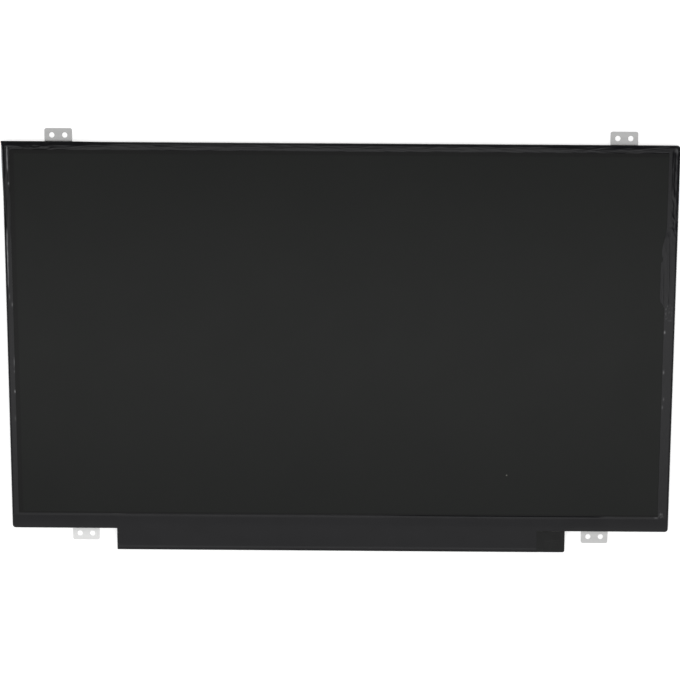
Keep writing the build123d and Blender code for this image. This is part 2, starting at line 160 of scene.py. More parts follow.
def close_piece(piece, material, angle=40.0):
    """Leaves edit mode, smooths the piece, and gives it its finish and its body."""
    leave_editing()
    bpy.ops.object.select_all(action="DESELECT")
    piece.select_set(True)
    bpy.context.view_layer.objects.active = piece
    bpy.ops.object.shade_smooth_by_angle(angle=math.radians(angle))
    piece.data.materials.clear()
    piece.data.materials.append(material)
    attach(piece, "root")


def new_object(name, data):
    """Puts a mesh, a lamp or a camera in the scene."""
    item = bpy.data.objects.new(name, data)
    bpy.context.scene.collection.objects.link(item)
    return item


def copies(name, master, places):
    """Copies a modelled shape to each place, every copy with its own mesh, and joins them into one piece."""
    leave_editing()
    bpy.ops.object.select_all(action="DESELECT")
    for place in places:
        copy = new_object(name, master.data.copy())
        copy.data.transform(place)
        copy.select_set(True)
        bpy.context.view_layer.objects.active = copy
    bpy.data.objects.remove(master)
    bpy.ops.object.join()
    piece = bpy.context.object
    piece.name = name
    piece.data.name = name
    return piece


def separate_boxes(node):
    """The lowest and highest corners of each separate solid inside a node, in order along X."""
    mesh = bmesh.new()
    mesh.from_mesh(nodes[node].data)
    bmesh.ops.remove_doubles(mesh, verts=mesh.verts, dist=1e-6)
    boxes = []
    waiting = set(mesh.verts)
    while waiting:
        heap = [waiting.pop()]
        found = []
        while heap:
            point = heap.pop()
            found.append(point.co.copy())
            for edge in point.link_edges:
                other = edge.other_vert(point)
                if other in waiting:
                    waiting.remove(other)
                    heap.append(other)
        low = Vector([min(co[axis] for co in found) for axis in range(3)])
        high = Vector([max(co[axis] for co in found) for axis in range(3)])
        boxes.append((low, high))
    mesh.free()
    return sorted(boxes, key=lambda box: box[0].to_tuple())


# Finishes


def start_group(name, inputs, outputs):
    """A shader node group with named values in and out."""
    group = bpy.data.node_groups.new(name, "ShaderNodeTree")
    for label, value in inputs.items():
        socket = group.interface.new_socket(name=label, in_out="INPUT", socket_type="NodeSocketFloat")
        socket.default_value = value
    for label in outputs:
        group.interface.new_socket(name=label, in_out="OUTPUT", socket_type="NodeSocketFloat")
    return group, group.nodes.new("NodeGroupInput"), group.nodes.new("NodeGroupOutput")


def put(tree, kind, settings=None, **values):
    """Places a node, with its settings, and the values of its sockets by name."""
    node = tree.nodes.new(kind)
    for setting, value in (settings or {}).items():
        setattr(node, setting, value)
    for label, value in values.items():
        socket = node.inputs[label.replace("_", " ")]
        if isinstance(value, bpy.types.NodeSocket):
            tree.links.new(value, socket)
        else:
            socket.default_value = value
    return node


def feed(tree, node, *values):
    """Links or sets the first sockets of a node, in their order."""
    for number, value in enumerate(values):
        if isinstance(value, bpy.types.NodeSocket):
            tree.links.new(value, node.inputs[number])
        else:
            node.inputs[number].default_value = value
    return node


def calculate(tree, operation, *values):
    """A sum on values or sockets."""
    return feed(tree, put(tree, "ShaderNodeMath", {"operation": operation}), *values).outputs["Value"]


def calculate_vector(tree, operation, result, *values):
    """A sum on vectors, and the named result of it."""
    return feed(tree, put(tree, "ShaderNodeVectorMath", {"operation": operation}), *values).outputs[result]


def between(tree, mask, low, high, start=0.0, end=1.0):
    """A mask that runs from start to end, spread from low to high."""
    node = put(tree, "ShaderNodeMapRange", From_Min=start, From_Max=end, To_Min=low, To_Max=high, Value=mask)
    return node.outputs["Result"]


def spread(tree, cloud, low=0.0, high=1.0):
    """A noise, most of which lies between 0.3 and 0.7, spread from low to high."""
    return between(tree, cloud, low, high, 0.3, 0.7)


def blend(tree, mask, first, second):
    """A value that goes from the first to the second as the mask goes from 0 to 1."""
    return put(tree, "ShaderNodeMix", Factor=mask, A=first, B=second).outputs["Result"]


def tint(tree, mask, first, second):
    """A colour that goes from the first to the second as the mask goes from 0 to 1."""
    node = tree.nodes.new("ShaderNodeMix")
    node.data_type = "RGBA"
    tree.links.new(mask, node.inputs[0])
    for number, colour in ((6, first), (7, second)):
        if isinstance(colour, bpy.types.NodeSocket):
            tree.links.new(colour, node.inputs[number])
        else:
            node.inputs[number].default_value = (*colour, 1.0)
    return node.outputs[2]


def grain_group():
    """Moulded or cast grain: a fine height, and a broader tone for colour and gloss."""
    group, source, result = start_group("surface_grain", {"Size": 0.3, "Patch": 12.0}, ("Height", "Tone"))
    place = put(group, "ShaderNodeTexCoord").outputs["Object"]
    fine_scale = calculate(group, "DIVIDE", 1000.0, source.outputs["Size"])
    broad_scale = calculate(group, "DIVIDE", 1000.0, source.outputs["Patch"])
    fine = put(group, "ShaderNodeTexNoise", Vector=place, Scale=fine_scale, Detail=4.0, Roughness=0.6)
    broad = put(group, "ShaderNodeTexNoise", Vector=place, Scale=broad_scale, Detail=5.0, Roughness=0.55)
    feed(group, result, fine.outputs["Fac"], broad.outputs["Fac"])
    return group


def rolled_group():
    """The fine straight lines that rolling leaves on sheet metal, along X."""
    group, source, result = start_group("rolled_lines", {"Size": 0.12, "Length": 25.0}, ("Height", "Tone"))
    place = put(group, "ShaderNodeTexCoord").outputs["Object"]
    across = calculate(group, "DIVIDE", 1000.0, source.outputs["Size"])
    along = calculate(group, "DIVIDE", 1000.0, source.outputs["Length"])
    stretch = put(group, "ShaderNodeCombineXYZ", X=along, Y=across, Z=across)
    mapped = calculate_vector(group, "MULTIPLY", "Vector", place, stretch.outputs["Vector"])
    lines = put(group, "ShaderNodeTexNoise", Vector=mapped, Scale=1.0, Detail=3.0, Roughness=0.7)
    drawn = calculate_vector(group, "MULTIPLY", "Vector", place, (6.0, 420.0, 420.0))
    patches = put(group, "ShaderNodeTexNoise", Vector=drawn, Scale=1.0, Detail=4.0, Roughness=0.6)
    feed(group, result, lines.outputs["Fac"], patches.outputs["Fac"])
    return group


def dust_group():
    """Sparse specks of dust, and the soft smears of handling."""
    group, source, result = start_group("dust_and_smears", {"Spacing": 6.0, "Share": 0.1}, ("Dust", "Smear"))
    place = put(group, "ShaderNodeTexCoord").outputs["Object"]
    scale = calculate(group, "DIVIDE", 1000.0, source.outputs["Spacing"])
    cells = put(group, "ShaderNodeTexVoronoi", Vector=place, Scale=scale, Randomness=1.0)
    picked = put(group, "ShaderNodeTexWhiteNoise", {"noise_dimensions": "3D"}, Vector=cells.outputs["Position"])
    chosen = calculate(group, "LESS_THAN", picked.outputs["Value"], source.outputs["Share"])
    near = calculate(group, "LESS_THAN", cells.outputs["Distance"], 0.035)
    dust = calculate(group, "MULTIPLY", chosen, near)
    smear = put(group, "ShaderNodeTexNoise", Vector=place, Scale=18.0, Detail=6.0, Roughness=0.6, Distortion=0.6)
    feed(group, result, dust, smear.outputs["Fac"])
    return group


grain = grain_group()
rolled = rolled_group()
dusty = dust_group()


def use(tree, group, **values):
    """Places a shared group in a material, with its own values."""
    return put(tree, "ShaderNodeGroup", {"node_tree": group}, **values)


def start_finish(name, **sockets):
    """A new material, with the values that are the same all over set on its shader."""
    material = bpy.data.materials.new(name)
    material.use_nodes = True
    shader = material.node_tree.nodes["Principled BSDF"]
    for label, value in sockets.items():
        shader.inputs[label.replace("_", " ")].default_value = value
    return material, material.node_tree, shader


def connect(tree, shader, colour, roughness, height, depth):
    """Links a finish to its shader, with the depth of its relief in millimetres."""
    tree.links.new(colour, shader.inputs["Base Color"])
    tree.links.new(roughness, shader.inputs["Roughness"])
    bump = put(tree, "ShaderNodeBump", Height=height, Strength=1.0, Distance=depth * MM)
    tree.links.new(bump.outputs["Normal"], shader.inputs["Normal"])


def grained_finish(name, dark, light, rough, size, depth, patch=12.0, **sockets):
    """Moulded, cast or coated stock: two close tones, uneven gloss and a fine grain."""
    material, tree, shader = start_finish(name, **sockets)
    marks = use(tree, grain, Size=size, Patch=patch)
    tone = spread(tree, marks.outputs["Tone"])
    roughness = between(tree, tone, *rough)
    connect(tree, shader, tint(tree, tone, dark, light), roughness, marks.outputs["Height"], depth)
    return material


def rolled_finish(name, dark, light, rough, size, depth, **sockets):
    """Sheet metal: rolling lines in its gloss and height, with faint stains."""
    material, tree, shader = start_finish(name, **{"Metallic": 1.0, **sockets})
    lines = use(tree, rolled, Size=size, Length=25.0)
    marks = use(tree, dusty, Spacing=5.0, Share=0.05)
    tone = spread(tree, lines.outputs["Tone"])
    streaks = calculate(tree, "MULTIPLY_ADD", marks.outputs["Smear"], 0.5, lines.outputs["Height"])
    roughness = between(tree, streaks, *rough, 0.5, 1.0)
    connect(tree, shader, tint(tree, tone, dark, light), roughness, lines.outputs["Height"], depth)
    return material


def screen_finish():
    """The matt film on the screen: near black, a darker border past the picture area, a little dust and one grit."""
    material, tree, shader = start_finish("matt_screen_film", Specular_IOR_Level=0.25)
    place = put(tree, "ShaderNodeTexCoord").outputs["Object"]
    apart = put(tree, "ShaderNodeSeparateXYZ", Vector=place)
    wide = calculate(tree, "ABSOLUTE", apart.outputs["X"])
    past_side = calculate(tree, "GREATER_THAN", wide, picture_half)
    past_top = calculate(tree, "GREATER_THAN", apart.outputs["Y"], picture_top)
    past_bottom = calculate(tree, "LESS_THAN", apart.outputs["Y"], picture_bottom)
    border = calculate(tree, "MAXIMUM", past_side, calculate(tree, "MAXIMUM", past_top, past_bottom))
    marks = use(tree, grain, Size=0.12, Patch=60.0)
    specks = use(tree, dusty, Spacing=40.0, Share=0.06)
    tone = spread(tree, marks.outputs["Tone"])
    picture = tint(tree, tone, (0.007, 0.008, 0.0072), (0.0085, 0.0095, 0.0086))
    framed = tint(tree, border, picture, (0.0052, 0.0054, 0.0052))
    to_grit = calculate_vector(tree, "DISTANCE", "Value", place, grit_place)
    grit = calculate(tree, "LESS_THAN", to_grit, grit_radius)
    dusted = tint(tree, specks.outputs["Dust"], framed, (0.06, 0.06, 0.055))
    gritty = tint(tree, grit, dusted, (0.16, 0.16, 0.14))
    roughness = spread(tree, specks.outputs["Smear"], 0.28, 0.31)
    connect(tree, shader, gritty, roughness, marks.outputs["Height"], 0.0015)
    return material


def tape_finish():
    """Black polyester tape: a satin skin with a fine stretched crinkle, paler where creased, partly as whitening and
    partly as a painted highlight on its folds and ridges, and dust.
    """
    material, tree, shader = start_finish("black_border_tape")
    marks = use(tree, grain, Size=0.9, Patch=9.0)
    specks = use(tree, dusty, Spacing=2.6, Share=0.035)
    tone = spread(tree, marks.outputs["Tone"])
    skin = tint(tree, tone, (0.003, 0.003, 0.0044), (0.0046, 0.0046, 0.0064))
    crease_and_glint = put(tree, "ShaderNodeAttribute", {"attribute_name": "crease_and_glint"}).outputs["Fac"]
    # Paler where creased: partly whitening of the film, partly a painted highlight on its ridges and folds.
    whitened_and_glint = tint(tree, crease_and_glint, skin, (0.3, 0.3, 0.306))
    dusted = tint(tree, specks.outputs["Dust"], whitened_and_glint, (0.25, 0.25, 0.25))
    roughness = spread(tree, specks.outputs["Smear"], 0.276, 0.31)
    connect(tree, shader, dusted, roughness, marks.outputs["Height"], 0.016)
    return material


def board_finish():
    """Black solder mask over metal tracks and vias, a lighter line near the right end that is a painted highlight of
    the board's edge, and bare laminate at the cut edges.
    """
    material, tree, shader = start_finish("black_solder_mask", Specular_IOR_Level=0.42)
    place = put(tree, "ShaderNodeTexCoord").outputs["Object"]
    marks = use(tree, grain, Size=0.25, Patch=5.0)
    bend = put(tree, "ShaderNodeTexNoise", Vector=place, Scale=90.0, Detail=1.0)
    warped = calculate_vector(tree, "MULTIPLY_ADD", "Vector", bend.outputs["Color"], (0.002, 0.004, 0.0), place)
    tracks = put(tree, "ShaderNodeTexWave", {"bands_direction": "Y"}, Vector=warped, Scale=420.0)
    groups = put(tree, "ShaderNodeTexNoise", Vector=place, Scale=130.0, Detail=1.0)
    routed = calculate(tree, "GREATER_THAN", groups.outputs["Fac"], 0.48)
    track = calculate(tree, "MULTIPLY", calculate(tree, "GREATER_THAN", tracks.outputs["Fac"], 0.5), routed)
    holes = put(tree, "ShaderNodeTexVoronoi", Vector=place, Scale=420.0, Randomness=0.9)
    via = calculate(tree, "LESS_THAN", holes.outputs["Distance"], 0.13)
    apart = put(tree, "ShaderNodeSeparateXYZ", Vector=place)
    # A lighter line across the board near its right end, drawn as a track in the mask: a painted highlight of the
    # board's edge.
    to_end = calculate(tree, "SUBTRACT", board_high.x - 1.4 * MM, apart.outputs["X"])
    edge_highlight_line = calculate(tree, "LESS_THAN", calculate(tree, "ABSOLUTE", to_end), 0.25 * MM)
    copper_and_highlight = calculate(tree, "MAXIMUM", calculate(tree, "MAXIMUM", track, via), edge_highlight_line)
    mask = tint(tree, copper_and_highlight, (0.0058, 0.0061, 0.006), (0.0098, 0.0106, 0.0102))
    lie = put(tree, "ShaderNodeSeparateXYZ", Vector=put(tree, "ShaderNodeNewGeometry").outputs["Normal"])
    cut = calculate(tree, "LESS_THAN", calculate(tree, "ABSOLUTE", lie.outputs["Z"]), 0.5)
    laminate = tint(tree, marks.outputs["Height"], (0.05, 0.045, 0.025), (0.11, 0.095, 0.05))
    roughness = spread(tree, marks.outputs["Tone"], 0.4, 0.5)
    connect(tree, shader, tint(tree, cut, mask, laminate), roughness, copper_and_highlight, 0.012)
    return material


def lined_finish(name, base, line, rough, spacing, along, **sockets):
    """Flexible circuit: a film with fine parallel conductors under it."""
    material, tree, shader = start_finish(name, **sockets)
    place = put(tree, "ShaderNodeTexCoord").outputs["Object"]
    marks = use(tree, grain, Size=0.4, Patch=8.0)
    lines = put(tree, "ShaderNodeTexWave", {"bands_direction": along}, Vector=place, Scale=314.0 / spacing)
    drawn = calculate(tree, "GREATER_THAN", lines.outputs["Fac"], 0.55)
    roughness = spread(tree, marks.outputs["Tone"], *rough)
    connect(tree, shader, tint(tree, drawn, base, line), roughness, drawn, 0.006)
    return material


screen_film = screen_finish()
black_tape = tape_finish()
board_mask = board_finish()
# All four ears are one steel: the lighter copy for the bottom right ear and the paler, less metallic copy for the
# bottom left ear paint in the brighter light and glare that fall on the bottom ears.
ear_steel, bright_lit_ear_steel, glare_lit_ear_steel = (
    rolled_finish(name, dark, light, (0.34, 0.46), 0.1, 0.004, Metallic=metallic)
    for name, dark, light, metallic in (
        ("satin_ear_steel", (0.66, 0.66, 0.655), (0.75, 0.75, 0.745), 0.6),
        ("painted_light_ear_steel", (0.74, 0.74, 0.735), (0.82, 0.82, 0.815), 0.5),
        ("painted_glare_ear_steel", (0.93, 0.93, 0.925), (0.98, 0.98, 0.975), 0.3),
    )
)
plate_metal = rolled_finish("rolled_plate_aluminium", (0.68, 0.69, 0.7), (0.77, 0.78, 0.79), (0.3, 0.46), 0.14, 0.005)
tin_plate = rolled_finish("tinned_socket_shell", (0.58, 0.58, 0.57), (0.72, 0.72, 0.71), (0.28, 0.38), 0.06, 0.003)
solder_tin = grained_finish(
    "tinned_ends", (0.6, 0.6, 0.59), (0.76, 0.76, 0.75), (0.28, 0.42), 0.12, 0.006, patch=1.5, Metallic=1.0
)
gold_plate = grained_finish(
    "gold_contacts", (0.78, 0.56, 0.22), (0.9, 0.68, 0.3), (0.18, 0.3), 0.08, 0.002, patch=1.2, Metallic=1.0
)
frame_plastic = grained_finish(
    "black_frame_moulding", (0.008, 0.008, 0.009), (0.015, 0.015, 0.016), (0.48, 0.6), 0.2, 0.012
)
chip_resin = grained_finish(
    "chip_resin", (0.012, 0.012, 0.013), (0.022, 0.022, 0.023), (0.5, 0.62), 0.06, 0.008, patch=2.0
)
socket_resin = grained_finish(
    "socket_resin", (0.014, 0.014, 0.016), (0.024, 0.024, 0.026), (0.36, 0.46), 0.1, 0.004, patch=3.0
)
ferrite = grained_finish(
    "sintered_ferrite", (0.05, 0.05, 0.055), (0.1, 0.1, 0.105), (0.55, 0.7), 0.15, 0.012, patch=1.5
)
tan_ceramic = grained_finish(
    "tan_ceramic", (0.3, 0.2, 0.11), (0.4, 0.29, 0.17), (0.4, 0.52), 0.08, 0.003, patch=1.8
)
black_ceramic = grained_finish(
    "black_ceramic", (0.015, 0.016, 0.018), (0.03, 0.031, 0.034), (0.3, 0.42), 0.08, 0.003, patch=1.2
)
pale_ceramic = grained_finish("pale_fuse_body", (0.6, 0.58, 0.5), (0.72, 0.7, 0.62), (0.4, 0.5), 0.1, 0.004, patch=2.0)
amber_film = lined_finish("amber_driver_film", (0.2, 0.085, 0.02), (0.42, 0.2, 0.06), (0.2, 0.3), 0.16, "X")
flex_cover = lined_finish("white_flex_cover", (0.62, 0.6, 0.54), (0.7, 0.68, 0.6), (0.42, 0.52), 1.1, "X")
dark_glass = grained_finish("dark_cell_glass", (0.01, 0.011, 0.011), (0.014, 0.015, 0.015), (0.05, 0.09), 2.0, 0.0004)
milky_film = grained_finish("milky_light_film", (0.78, 0.79, 0.79), (0.84, 0.85, 0.85), (0.4, 0.5), 0.15, 0.002)
guide_acrylic = grained_finish("guide_acrylic", (0.72, 0.75, 0.76), (0.78, 0.81, 0.82), (0.08, 0.14), 0.5, 0.002)
rim_adhesive = grained_finish("black_rim_adhesive", (0.01, 0.01, 0.01), (0.018, 0.018, 0.018), (0.5, 0.65), 0.3, 0.006)
led_body = grained_finish("yellow_led_body", (0.74, 0.62, 0.26), (0.84, 0.74, 0.4), (0.35, 0.5), 0.1, 0.003, patch=1.5)

board_chips = ("memory_chip", "timing_controller", "power_chip", "level_shifter", "backlight_driver", "gamma_buffer")
inductors = ("logic_inductor", "bias_inductor", "backlight_inductor")

for finish, dressed in (
    (screen_film, ("front_polariser",)),
    (ear_steel, ("top_left_ear", "top_right_ear")),
    # Lit copies of the ear steel: painted light on the bottom ears.
    (bright_lit_ear_steel, ("bottom_right_ear",)),
    (glare_lit_ear_steel, ("bottom_left_ear",)),
    (frame_plastic, ("moulded_frame",)),
    (plate_metal, ("back_plate",)),
    (board_mask, ("control_board",)),
    (tin_plate, ("socket_shell",)),
    (gold_plate, ("socket_contacts",)),
    (socket_resin, ("socket_housing",)),
    (tan_ceramic, ("board_capacitors",)),
    (black_ceramic, ("board_resistors",)),
    (pale_ceramic, ("input_fuse",)),
    (ferrite, inductors),
    (flex_cover, ("light_bar_flex",)),
    (led_body, ("light_bar_leds",)),
    (guide_acrylic, ("light_guide",)),
    (rim_adhesive, ("rim_tape",)),
    (dark_glass, ("array_glass", "colour_filter_glass", "rear_polariser")),
    (milky_film, ("reflector_sheet", "diffuser_sheet", "lower_prism_sheet", "upper_prism_sheet")),
    (amber_film, tuple(f"source_film_{number}" for number in range(1, 5))),
    (chip_resin, (*board_chips, "rectifier_diodes", *(f"driver_chip_{number}" for number in range(1, 5)))),
):
    for node in dressed:
        nodes[node].data.materials.clear()
        nodes[node].data.materials.append(finish)


# Border tapes

# How much of the lip's drop the bottom tape follows beside the board, how soon, and how far it runs out over the board
bridge_share = 0.55
bridge_bend = 2.2
board_reach = 9.0 * MM

# Levels at which the tapes' sides are stepped on the way down to the rear
side_steps = (2.1 * MM, notch_level, 1.2 * MM, 0.5 * MM, rear_level)

# Nicks in the tapes: place along X and Y, width and length in millimetres, strength
left_nicks = (
    (-157.5, 74.2, 0.3, 0.5, 0.45),
    (-158.5, 20.1, 0.25, 1.2, 0.25),
    (-157.3, 16.2, 0.3, 0.8, 0.35),
    (-157.1, -11.8, 0.25, 2.0, 0.28),
    (-157.1, -16.4, 0.25, 0.5, 0.25),
    (-157.05, -26.2, 0.35, 0.55, 0.8),
    (-157.2, -39.5, 0.5, 1.0, 0.13),
)
right_nicks = (
    (158.2, 91.5, 0.8, 0.9, 0.16),
    (155.4, 4.8, 0.35, 0.55, 0.65),
    (155.5, -14.7, 0.35, 0.7, 0.4),
    (155.9, -27.9, 0.3, 0.7, 0.25),
    (155.5, -31.9, 0.3, 0.7, 0.25),
    (156.3, -85.1, 0.4, 0.5, 0.33),
)
bottom_nicks = ((154.4, -86.9, 0.4, 0.4, 0.8),)


def ease(value, start, end):
    """A smooth step from 0 at start to 1 at end."""
    share = min(max((value - start) / (end - start), 0.0), 1.0)
    return share * share * (3 - 2 * share)


def span(value, start, end, soft):
    """1 between start and end, with soft ends outside them."""
    return ease(value, start - soft, start) * (1 - ease(value, end, end + soft))


def bell(value, middle, width):
    """1 at the middle, fading over the width on both sides of it."""
    return math.exp(-(((value - middle) / width) ** 2))


def drift(y, spacing, seed):
    """A slow change between -1 and 1 along Y, with its spacing in millimetres."""
    return noise.noise(Vector((0.0, y / MM / spacing, seed)))


def fold_noise(x, y, long_x, long_y, seed):
    """Sharp-crested folds from 0 to 1, with the given spacing in millimetres along X and Y."""
    value = noise.noise(Vector((x / MM / long_x, y / MM / long_y, seed)))
    return (1 - min(abs(value) * 2.2, 1.0)) ** 2


def in_trough(y):
    """Where the right tape sinks in one long trough, below its top corner."""
    return span(y / MM, 73.5, 89.5, 2.0)


def fullness(x, y):
    """How far out the tape stands before it turns down: low is an even slope, high a late, round turn."""
    along_top = 6.0 + 7.0 * span(x / MM, -98, -20, 14) - 4.2 * (1 - ease(x / MM, -124, -106))
    along_top -= 3.4 * span(x / MM, 102, 140, 10)
    along_top *= 1 + 0.3 * noise.noise(Vector((x / MM / 5.0, 0.0, 11.0)))
    down_side = 6.0 - 2.9 * ease(y / MM, 28, 56) + 0.8 * drift(y, 14.0, 13.0)
    if x > 0:
        down_side = down_side * (1 - in_trough(y)) + 1.15 * in_trough(y)
    past_top = max(y - face_high.y, 0.0)
    past_side = max(abs(x) - face_high.x, 0.0)
    share = past_top / (past_top + past_side) if past_top else 0.0
    return share * along_top + (1 - share) * down_side


def rest_height(x, y):
    """The tape's outside as it lies: flat on the screen, then down to the frame's lip, or out to the board."""
    out = math.hypot(max(abs(x) - face_high.x, 0.0), max(y - face_high.y, 0.0))
    side = min(out / slope_run, 1.0) ** fullness(x, y)
    on_board = span(x, board_low.x + 2 * MM, board_high.x - 2 * MM, 6 * MM)
    below = max(face_low.y - y, 0.0)
    over_lip = bridge_share * (1 - (1 - min(below / band_run, 1.0)) ** bridge_bend)
    over_board = min(below / (band_run + board_reach), 1.0)
    bottom = over_lip * (1 - on_board) + over_board * on_board
    return face_high.z + tape_thickness - lip_drop * max(side, bottom)


def tape_blank(name, left, right, bottom, top, across, along):
    """A flat blank of tape at the level of the screen, in small squares."""
    piece = start_piece(
        name,
        bpy.ops.mesh.primitive_grid_add,
        x_subdivisions=round((right - left) / across),
        y_subdivisions=round((top - bottom) / along),
        size=1.0,
    )
    middle = ((left + right) / 2, (bottom + top) / 2, face_high.z + tape_thickness)
    place_blank((right - left, top - bottom, 1.0), middle)
    return piece


def cut_across(*places):
    """Cuts the blank that is being edited straight across, at each place along X."""
    for x in places:
        bpy.ops.mesh.select_all(action="SELECT")
        bpy.ops.mesh.bisect(plane_co=(x, 0, 0), plane_no=(1, 0, 0))


def round_corner(co):
    """Brings a point outside the body's rounded corner onto it."""
    centre_x = math.copysign(body_right - corner_radius, co.x)
    centre_y = math.copysign(body_top - corner_radius, co.y)
    out = Vector((co.x - centre_x, co.y - centre_y))
    past = out.x * centre_x > 0 and out.y * centre_y > 0
    if past and out.length > corner_radius:
        out *= corner_radius / out.length
        return Vector((centre_x + out.x, centre_y + out.y, co.z))
    return co


def fold_down(piece, wanted):
    """Folds the wanted edges down the frame's side in steps, then in under its rear."""
    pick_edges(piece, wanted)
    level = face_high.z + tape_thickness
    for step in side_steps:
        extrude_picked((0, 0, step - level))
        level = step
    extrude_picked((0, 0, 0))
    half, low, high = rear_window

    def tuck(co):
        return Vector((max(-half, min(half, co.x)), max(low, min(high, co.y)), co.z))

    move_points(piece, tuck, only_picked=True)


def middles_of(*ears):
    """Where ears are along X."""
    return [sum(corner.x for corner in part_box(node)) / 2 for node in ears]


def cut_notches(middles):
    """Cuts the blank across at both sides of each ear."""
    cut_across(*[x + side * notch_half for x in middles for side in (-1, 1)])


def clear_notches(piece, middles):
    """Takes the folded side away where an ear comes out."""

    def in_notch(middle, normal):
        return middle.z < notch_level and any(abs(middle.x - x) < notch_half for x in middles)

    pick_faces(piece, in_notch)
    bpy.ops.mesh.delete(type="FACE")


def lay_down(piece, wrinkle, creep=None, flare=None):
    """Lays the blank on the panel: front points to their height and wrinkle, side points a little out."""
    front = face_high.z + tape_thickness - 1e-6

    def settle(co):
        if co.z < front:
            swell = 0.03 * MM * (1 + noise.noise(co * 260.0))
            loose = flare(co) if flare else Vector()
            return co + Vector((co.x / body_right, co.y / body_top, 0)) * swell + loose
        x, y = creep(co.x, co.y) if creep else (co.x, co.y)
        return Vector((x, y, rest_height(x, y) + wrinkle(x, y) * MM))

    move_points(piece, settle)


def finish_tape(piece, node, crease_and_glint=None):
    """Gives a laid tape its thickness and the paler marks on its front where it is creased, partly painted highlight,
    and lets it stand for the plain one.
    """
    apply_modifier(piece, "film", "SOLIDIFY", thickness=tape_thickness, offset=-1.0)
    if crease_and_glint:
        # The values paint the tape's front paler where it folds, partly as painted highlight.
        values = [crease_and_glint(point.co) if point.co.z > frame_high.z else 0.0 for point in piece.data.vertices]
        piece.data.attributes.new("crease_and_glint", "FLOAT", "POINT").data.foreach_set("value", values)
    close_piece(piece, black_tape, angle=60.0)
    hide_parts(node)


def left_ridge(x, y):
    """The sharp ridge along the left tape, from 0 to 1: it stands off the slope in two places."""
    line = 1.35 + 1.05 * ease(y / MM, 60, 75) + 0.15 * drift(y, 6.0, 21.0)
    upper = span(y / MM, 82, 90, 3)
    lower = span(y / MM, 27, 50, 4) * (0.7 + 0.3 * span(y / MM, 34, 46, 3))
    return (upper + lower) * bell((x - body_left) / MM, line, 0.25)


def left_wrinkle(x, y):
    """The left tape: folds near the top, and its ridge."""
    inset = (x - body_left) / MM
    folds = fold_noise(x, y, 1.1, 16.0, 1.0) * (0.012 + 0.1 * ease(y / MM, 20, 62))
    return (0.3 * left_ridge(x, y) + folds) * ease(inset, 0.0, 0.8)


def left_flare(co):
    """The left tape's side, which hangs loose and leans out towards the top corner."""
    drop = (frame_high.z - co.z) / frame_high.z
    out = 1.0 * MM * ease(co.y / MM, 48, 88) * min(max(drop, 0.0), 1.0)
    return Vector((-out if co.x < body_left + 0.5 * MM else 0.0, 0.0, 0.0))


def nick(co, x, y, wide, long):
    """A small mark at x, y, in millimetres, that fades from 1 at its middle."""
    return bell(co.x / MM, x, wide) * bell(co.y / MM, y, long)


def nicked(co, nicks):
    """How much the nicks whiten a point."""
    return max(strength * nick(co, *place) for *place, strength in nicks)


def left_crease_and_glint(co):
    """Where the left tape is painted paler: a painted highlight along its ridge, more in some places than in others,
    and paler spots in its nicks.
    """
    patchy = 0.75 + 0.5 * drift(co.y, 3.0, 31.0)
    # The ridge's paler line is a painted highlight.
    return 0.95 * patchy * left_ridge(co.x, co.y) + nicked(co, left_nicks)


def right_wrinkle(x, y):
    """The right tape: a loose roll beside a trough and short pockets at the top, almost smooth further down."""
    inset = (body_right - x) / MM
    upper = ease(y / MM, 44, 58)
    outer = 1 - ease(inset, 2.6, 3.8)
    trough = in_trough(y)
    uneven = 1 + 0.4 * drift(y, 6.0, 17.0)
    roll = (0.14 + 0.24 * trough) * uneven * upper * bell(inset, 3.1, 0.55)
    bead = 0.08 * trough * bell(inset, 1.6, 0.2)
    pockets = 0.22 * (1 - 0.6 * trough) * upper * outer * noise.noise(Vector((x / MM / 1.6, y / MM / 4.5, 4.0)))
    folds = fold_noise(x, y, 1.5, 6.0, 4.0) * (0.02 + 0.16 * (1 - 0.7 * trough) * upper * outer)
    blister = span(y / MM, 19, 50, 4) * 0.12 * (1 - outer) * fold_noise(x, y, 2.0, 24.0, 8.0)
    return max(roll + bead + pockets + folds + blister, 0.0) * ease(inset, 0.0, 0.7)


def right_creep(x, y):
    """The right tape's inner edge, where it has crept in over the screen in two bulges."""
    upper = 2.0 * ease(y / MM, 56, 43) * ease(y / MM, 40.2, 41.4)
    lower = 2.3 * ease(y / MM, 40.2, 38.2) * ease(y / MM, 16.0, 21.0)
    bulge = max(upper, lower, 1.4 * span(y / MM, 38, 42, 0.5))
    bulge += 0.12 * drift(y, 7.0, 2.0)
    share = min(max((body_right - x) / (body_right - right_low.x), 0.0), 1.0)
    return x - bulge * MM * share ** 2, y


def right_crease_and_glint(co):
    """Where the right tape is painted paler: a painted highlight along the bead in its trough, and paler marks in
    crumples, at its lower corner and in its nicks.
    """
    patchy = 0.75 + 0.6 * drift(co.y, 3.0, 41.0)
    # The rim line is a painted highlight along the bead.
    rim = 0.14 * patchy * in_trough(co.y) * bell((body_right - co.x) / MM, 1.5, 0.25)
    speckle = max(noise.noise(Vector((co.x / MM / 0.7, co.y / MM / 1.1, 37.0))) - 0.15, 0.0)
    crumples = 0.47 * speckle * span(co.y / MM, 11, 17.5, 1.0) * span(co.x / MM, 155.6, 158.4, 0.5)
    corner = 1.5 * speckle * nick(co, 156.0, -85.6, 1.3, 1.3)
    return rim + crumples + corner + nicked(co, right_nicks)


def bottom_crease(co):
    """Where the bottom tape is whitened: in a nick near its right end."""
    return nicked(co, bottom_nicks)


